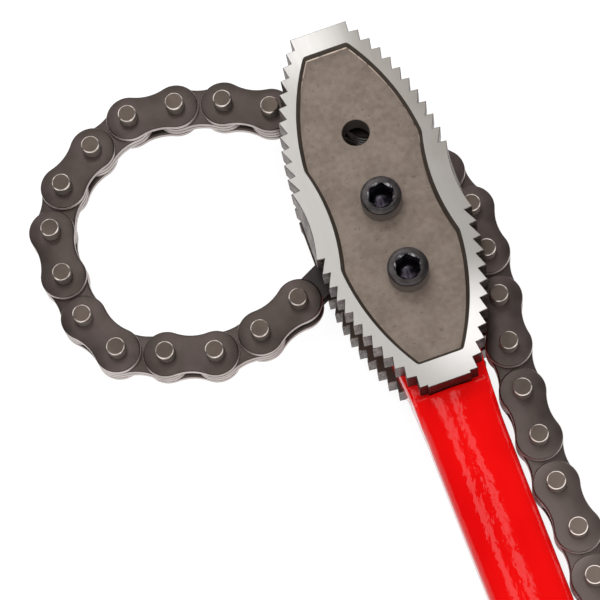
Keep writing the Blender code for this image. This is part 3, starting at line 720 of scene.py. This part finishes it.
def pin_patches(x):
    """A pin with turned bevels at both ends, and faintly dished end faces."""
    rings = turned(both_edges(PIN_END, PIN_HALF), (x, 0), PIN_STEPS)
    return [skin(rings[:2]), skin(rings[1:4]), skin(rings[3:5]), skin(rings[4:7]), skin(rings[6:])]


def chain_finish(name, face, worn, roughness, metallic=1.0, free_end_colour=None, cloud_size=0.013):
    """Oiled and heat-blackened steel with cloudy tarnish and a fine tumbled grain. It is lighter towards the
    chain's free end, and painted shade darkens it near the jaws' spare bolt hole."""
    finish = Finish(name, metallic)
    cloud = finish.noise(cloud_size)
    clouded = finish.mixed(cloud.between(0.3, 0.75), face, worn)
    # Lighter towards the chain's free end.
    free_end = finish.along("Y").between(-0.09, -0.20)
    lighter_free_end = finish.mixed(free_end, clouded, free_end_colour or worn)
    # Painted shade: darker near the spare bolt hole between the jaws, where shade falls.
    to_jaws = finish.measure("DISTANCE", (0, HOLE_SPACING, MIDDLE))
    shade_near_hole = to_jaws.between(0.045, 0.012) * 0.85
    finish.give("Base Color", finish.mixed(shade_near_hole, lighter_free_end, colour(24, 21, 20)))
    finish.give("Roughness", cloud * 0.14 + (roughness - 0.07))
    finish.bump(finish.noise(0.0013), 0.00003)
    return finish


plate_face = chain_finish("blackened link plate", colour(67, 60, 56), colour(81, 71, 69), 0.40,
                          free_end_colour=colour(95, 85, 81))
plate_side = chain_finish("punched plate edge", colour(176, 164, 160), colour(206, 196, 192), 0.34, 0.4)
pin_end = chain_finish("tumbled pin end", colour(74, 66, 60), colour(92, 82, 75), 0.42,
                       free_end_colour=colour(114, 102, 94))
pin_bevel = chain_finish("bright pin bevel", colour(158, 147, 141), colour(236, 225, 217), 0.28,
                         cloud_size=0.0032)
pin_side = chain_finish("pin side", colour(116, 107, 101), colour(146, 136, 128), 0.30, 0.6)

plate_finishes = [plate_face, plate_side]
pinned_finishes = [plate_face, plate_side, pin_end, pin_bevel, pin_side]
for i, (start, end) in enumerate(zip(pin_places, pin_places[1:])):
    angle = math.atan2(end[1] - start[1], end[0] - start[0])
    place = Matrix.Translation((start[0], start[1], MIDDLE)) @ Matrix.Rotation(angle, 4, "Z")
    number = f"{i // 2 + 1:02d}"
    body = f"link_{i + 1:02d}"
    if i % 2:
        patches = plate_patches(-PLATE - INNER_LEVEL, -INNER_LEVEL)
        patches += plate_patches(INNER_LEVEL, PLATE + INNER_LEVEL)
        show("inner_plates_" + number, patches, plate_finishes, [1, 0, 0, 0, 0, 0] * 2, body,
             ["chain_inner_link_" + number], matrix=place)
    else:
        patches = plate_patches(OUTER_LEVEL, OUTER_LEVEL + PLATE)
        show("front_plate_" + number, patches, plate_finishes, [1, 0, 0, 0, 0, 0], body,
             ["chain_outer_plate_" + number], matrix=place)
        patches = plate_patches(-OUTER_LEVEL - PLATE, -OUTER_LEVEL, False)
        patches += pin_patches(0) + pin_patches(PITCH)
        show("pinned_plate_" + number, patches, pinned_finishes, [1, 0, 0, 0] + [2, 3, 4, 3, 2] * 2, body,
             ["chain_pin_plate_" + number], matrix=place)

# Anchor link
# A flat forged bar with an eye at each end ties the chain to the middle bolt. Its hub fills the handle's
# fork, and its far eye sits between the plates of the first link.
ANCHOR_HALF_WIDTH = 0.0085
ANCHOR_HALF_THICK = 0.00335
ANCHOR_EDGE = 0.0006
ANCHOR_REACH = float(np.linalg.norm(pin_places[0]))
EYE_RADIUS = 0.0105
EYE_BORE_RADIUS = 0.0051
EYE_BORE_STEPS = 32
HUB_RADIUS = 0.0115
HUB_HALF = 0.0077
HUB_EDGE = 0.0004
HUB_STEPS = 48


def bar_loop():
    """A straight bar between two round eyes: each arc starts where sin a = half width / eye radius."""
    hub_angle = math.asin(ANCHOR_HALF_WIDTH / HUB_RADIUS)
    eye_angle = math.asin(ANCHOR_HALF_WIDTH / EYE_RADIUS)
    eye_turn = np.linspace(eye_angle - math.pi, math.pi - eye_angle, 33)
    hub_turn = np.linspace(hub_angle, 2 * math.pi - hub_angle, 33)
    eye = np.stack([ANCHOR_REACH + EYE_RADIUS * np.cos(eye_turn), EYE_RADIUS * np.sin(eye_turn)], 1)
    hub = np.stack([HUB_RADIUS * np.cos(hub_turn), HUB_RADIUS * np.sin(hub_turn)], 1)
    return np.vstack([eye, hub])


anchor_steel = chain_finish("blackened anchor steel", colour(46, 42, 42), colour(60, 54, 55), 0.42)
bar_side = carried(bar_loop(), both_edges(((-ANCHOR_EDGE, 0.0), (0.0, ANCHOR_EDGE)), ANCHOR_HALF_THICK))
bore_profile = ((0.0, ANCHOR_HALF_THICK), (0.0, -ANCHOR_HALF_THICK))
bolt_bore = carried(ring((0, 0), CLEAR_RADIUS, HUB_STEPS), bore_profile)
eye_bore = carried(ring((ANCHOR_REACH, 0), EYE_BORE_RADIUS, EYE_BORE_STEPS), bore_profile)
hub_edge = ((CLEAR_RADIUS, 0.0), (HUB_RADIUS - HUB_EDGE, 0.0), (HUB_RADIUS, HUB_EDGE))
hub_rows = both_edges(hub_edge, HUB_HALF) + [(CLEAR_RADIUS, -HUB_HALF)]
anchor_patches = [
    skin(bar_side),
    lid([bar_side[-1], bolt_bore[0], eye_bore[0]], True),
    lid([bar_side[0], bolt_bore[-1], eye_bore[-1]], False),
    skin(bolt_bore),
    skin(eye_bore),
    skin(turned(hub_rows, (0, 0), HUB_STEPS)),
]
anchor_angle = math.atan2(pin_places[0, 1], pin_places[0, 0])
show("anchor_bar", anchor_patches, [anchor_steel], None, "anchor", ["anchor_link"],
     matrix=Matrix.Translation((0, 0, MIDDLE)) @ Matrix.Rotation(anchor_angle, 4, "Z"))

# Handle
# One long steel forging under thick red enamel. Its body is a crowned bar that swells a little towards the
# jaws, where a shoulder steps down to a flat head, forked for the anchor link and bored for the bolts.
HANDLE_END = float(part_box("handle")[0].y)
HALF_WIDTH = 0.0200
HALF_DEPTH = 0.0175
CROWN_RADIUS = 0.0600
CORNER_POWER = 5.0
SECTION_STEPS = 96
NEAR_RINGS = (-0.104, -0.130, 14)
FAR_RINGS_START = -0.14
SHOULDER = -0.10185
SHOULDER_EDGE = 0.0006
SHOULDER_SIDE_SHARE = 0.4
SWELL_START = -0.122
SWELL_RUN = 0.020
SWELL = 0.0005
SWELL_POWER = 3.6
BEND_START = -0.120
BEND_RUN = 0.120
BEND = 0.0013
SLIMMING = 0.0006
TAPER_START = -0.2506
WIDTH_TAPER = 0.0049
DEPTH_TAPER = 0.0045
TAPER_POWER = 1.6
END_ROUNDING = 0.016
END_SHARE = 0.004
SLAB_HALF = 0.0140
SLAB_POWER = 14
SLAB_FADE = 0.020
HEAD_THICK = 0.0274
HEAD_TOP_RADIUS = 0.0240
HEAD_TOP_STEPS = 96
HEAD_EDGE = ((-0.0012, 0.0), (-0.00035, 0.00035), (0.0, 0.0012))
NECK = np.array(((20.3, -104.9), (20.8, -95.0), (21.7, -86.0), (22.7, -74.0), (23.4, -60.0))) / 1000
FORK_SLOT = np.array(((-0.03, -0.027), (0.03, -0.027), (0.03, 0.03), (-0.03, 0.03)))
FORK_SLOT_HALF = 0.008
SEAT_RADIUS = 0.0052
SEAT_LEANS = (60, 120)
CUTTER_HALF = 0.02
CUTTER_STEPS = 48
HANDLE_CREASE = math.radians(35)


def bar_sections():
    """Rings of |x / a|^n + |z / b|^n = 1 with b less x^2 / 2R for the crown, and a, b and n taken along the
    handle: square under the jaws, softer down its length, and shrunk by a quarter circle at its end. A
    flatter oblong of a higher power, as deep as the head, stands out of its corners and sinks away from
    the jaws."""
    near = np.linspace(*NEAR_RINGS)
    far = np.linspace(FAR_RINGS_START, HANDLE_END + END_ROUNDING, 44)
    turn = np.linspace(0, math.pi / 2, 14)[1:]
    last = HANDLE_END + END_ROUNDING - END_ROUNDING * np.sin(turn)
    y = np.r_[SHOULDER, SHOULDER - SHOULDER_EDGE / 3, SHOULDER - SHOULDER_EDGE, near, far, last]
    shrink = np.r_[np.ones(len(y) - len(turn)), np.maximum(np.cos(turn), END_SHARE)]
    taper = np.clip((TAPER_START - y) / (TAPER_START - HANDLE_END), 0, 1)
    near_jaws = np.clip((y - SWELL_START) / SWELL_RUN, 0, 1)
    away = np.clip((BEND_START - y) / BEND_RUN, 0, 1)
    bend = BEND * away**2 * (3 - 2 * away)
    half_width = (HALF_WIDTH + SWELL * near_jaws - SLIMMING * away - WIDTH_TAPER * taper) * shrink
    half_depth = (HALF_DEPTH - DEPTH_TAPER * taper) * shrink
    edge = np.clip((SHOULDER - y) / SHOULDER_EDGE, 0, 1)
    break_in = SHOULDER_EDGE * (1 - np.sqrt(1 - (1 - edge) ** 2))
    half_width, half_depth = half_width - SHOULDER_SIDE_SHARE * break_in, half_depth - break_in
    power = CORNER_POWER + SWELL_POWER * near_jaws**2 - TAPER_POWER * taper
    angle = np.linspace(0, 2 * math.pi, SECTION_STEPS, endpoint=False)
    cosine, sine = np.cos(angle), np.sin(angle)
    x = half_width[:, None] * np.sign(cosine) * np.abs(cosine) ** (2 / power[:, None])
    crown = (half_depth / HALF_DEPTH)[:, None] * x**2 / (2 * CROWN_RADIUS)
    z = (half_depth[:, None] - crown) * np.sign(sine) * np.abs(sine) ** (2 / power[:, None])
    fading = np.clip((SHOULDER - y) / SLAB_FADE, 0, 1) ** 2
    share = np.clip(np.abs(x) / half_width[:, None], 0, 1) ** SLAB_POWER
    slab_half = (SLAB_HALF * (1 - 0.5 * fading) - break_in)[:, None] * shrink[:, None]
    z = np.sign(sine) * np.maximum(np.abs(z), slab_half * (1 - share) ** (1 / SLAB_POWER))
    return np.stack([x + bend[:, None], np.broadcast_to(y[:, None], x.shape), MIDDLE + z], -1)


def head_outline():
    """The flat head's outline: its neck on the right, half a circle about the middle bolt, and the neck again
    on the left."""
    top = ring((0, 0), HEAD_TOP_RADIUS, HEAD_TOP_STEPS)
    top = top[top[:, 1] > -1e-9]
    top = top[np.argsort(np.arctan2(top[:, 1], top[:, 0]))]
    return np.vstack([NECK, top, NECK[::-1] * (-1, 1)])


def prism_patches(loop, profile):
    """A closed upright form: a profile carried round a loop, with a lid at each end."""
    rings = carried(loop, profile)
    return [skin(rings), lid([rings[-1]], True), lid([rings[0]], False)]


def plain_object(name, patches, level):
    """A closed form from patches, to cut with or to be cut."""
    points, faces, _ = assembled(patches)
    mesh = bpy.data.meshes.new(name)
    mesh.from_pydata((points + (0, 0, level)).tolist(), [], faces)
    weld(mesh, face_outwards=True)
    made = bpy.data.objects.new(name, mesh)
    bpy.context.scene.collection.objects.link(made)
    return made


def cutter(name, loop, half_height):
    """A straight upright prism about the handle's middle level, to cut with."""
    return plain_object(name, prism_patches(loop, both_edges(((0.0, 0.0),), half_height)), MIDDLE)


enamel = Finish("red enamel", 0.0)
pooling = enamel.noise(0.030, 2, (1.0, 0.45, 1.0))
peel = enamel.noise(0.0085, 2, (1.0, 0.55, 1.0))
ripple = enamel.noise(0.0034, 2)
enamel.give("Base Color", enamel.mixed(pooling.between(0.3, 0.7), colour(214, 3, 6), colour(231, 10, 9)))
enamel.give("Roughness", 0.06)
enamel.give("Specular IOR Level", 0.25)
enamel.bump(peel * 0.7 + pooling * 1.2 + ripple * 0.4, 0.00035)

sections = bar_sections()
across = tuple(range(SECTION_STEPS))
body_patches = [skin(sections), (sections[0], [across[::-1]]), (sections[-1], [across])]
handle = plain_object("handle_forging", body_patches, 0)
head_patches = prism_patches(head_outline(), both_edges(HEAD_EDGE, HEAD_THICK / 2))
head = plain_object("head_form", head_patches, MIDDLE)
cutters = [cutter("slot_form", FORK_SLOT, FORK_SLOT_HALF)]
for level in BOLT_LEVELS[1:]:
    cutters.append(cutter("bore_form", ring((0, level), BOLT_HOLE_RADIUS, CUTTER_STEPS), CUTTER_HALF))
for lean in map(math.radians, SEAT_LEANS):
    seat_place = (HEAD_TOP_RADIUS * math.cos(lean), HEAD_TOP_RADIUS * math.sin(lean))
    cutters.append(cutter("seat_form", ring(seat_place, SEAT_RADIUS, CUTTER_STEPS), CUTTER_HALF))
for operation, form in [("UNION", head)] + [("DIFFERENCE", cutting) for cutting in cutters]:
    boolean = handle.modifiers.new(form.name, "BOOLEAN")
    boolean.solver = "EXACT"
    boolean.operation = operation
    boolean.object = form
bpy.context.view_layer.update()
graph = bpy.context.evaluated_depsgraph_get()
forging = bpy.data.meshes.new_from_object(handle.evaluated_get(graph))
handle.modifiers.clear()
handle.data = forging
for form in [head, *cutters]:
    bpy.data.objects.remove(form)
forging.materials.clear()
forging.materials.append(enamel.material)
smooth(forging, HANDLE_CREASE)
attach(handle, "frame")
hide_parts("handle")
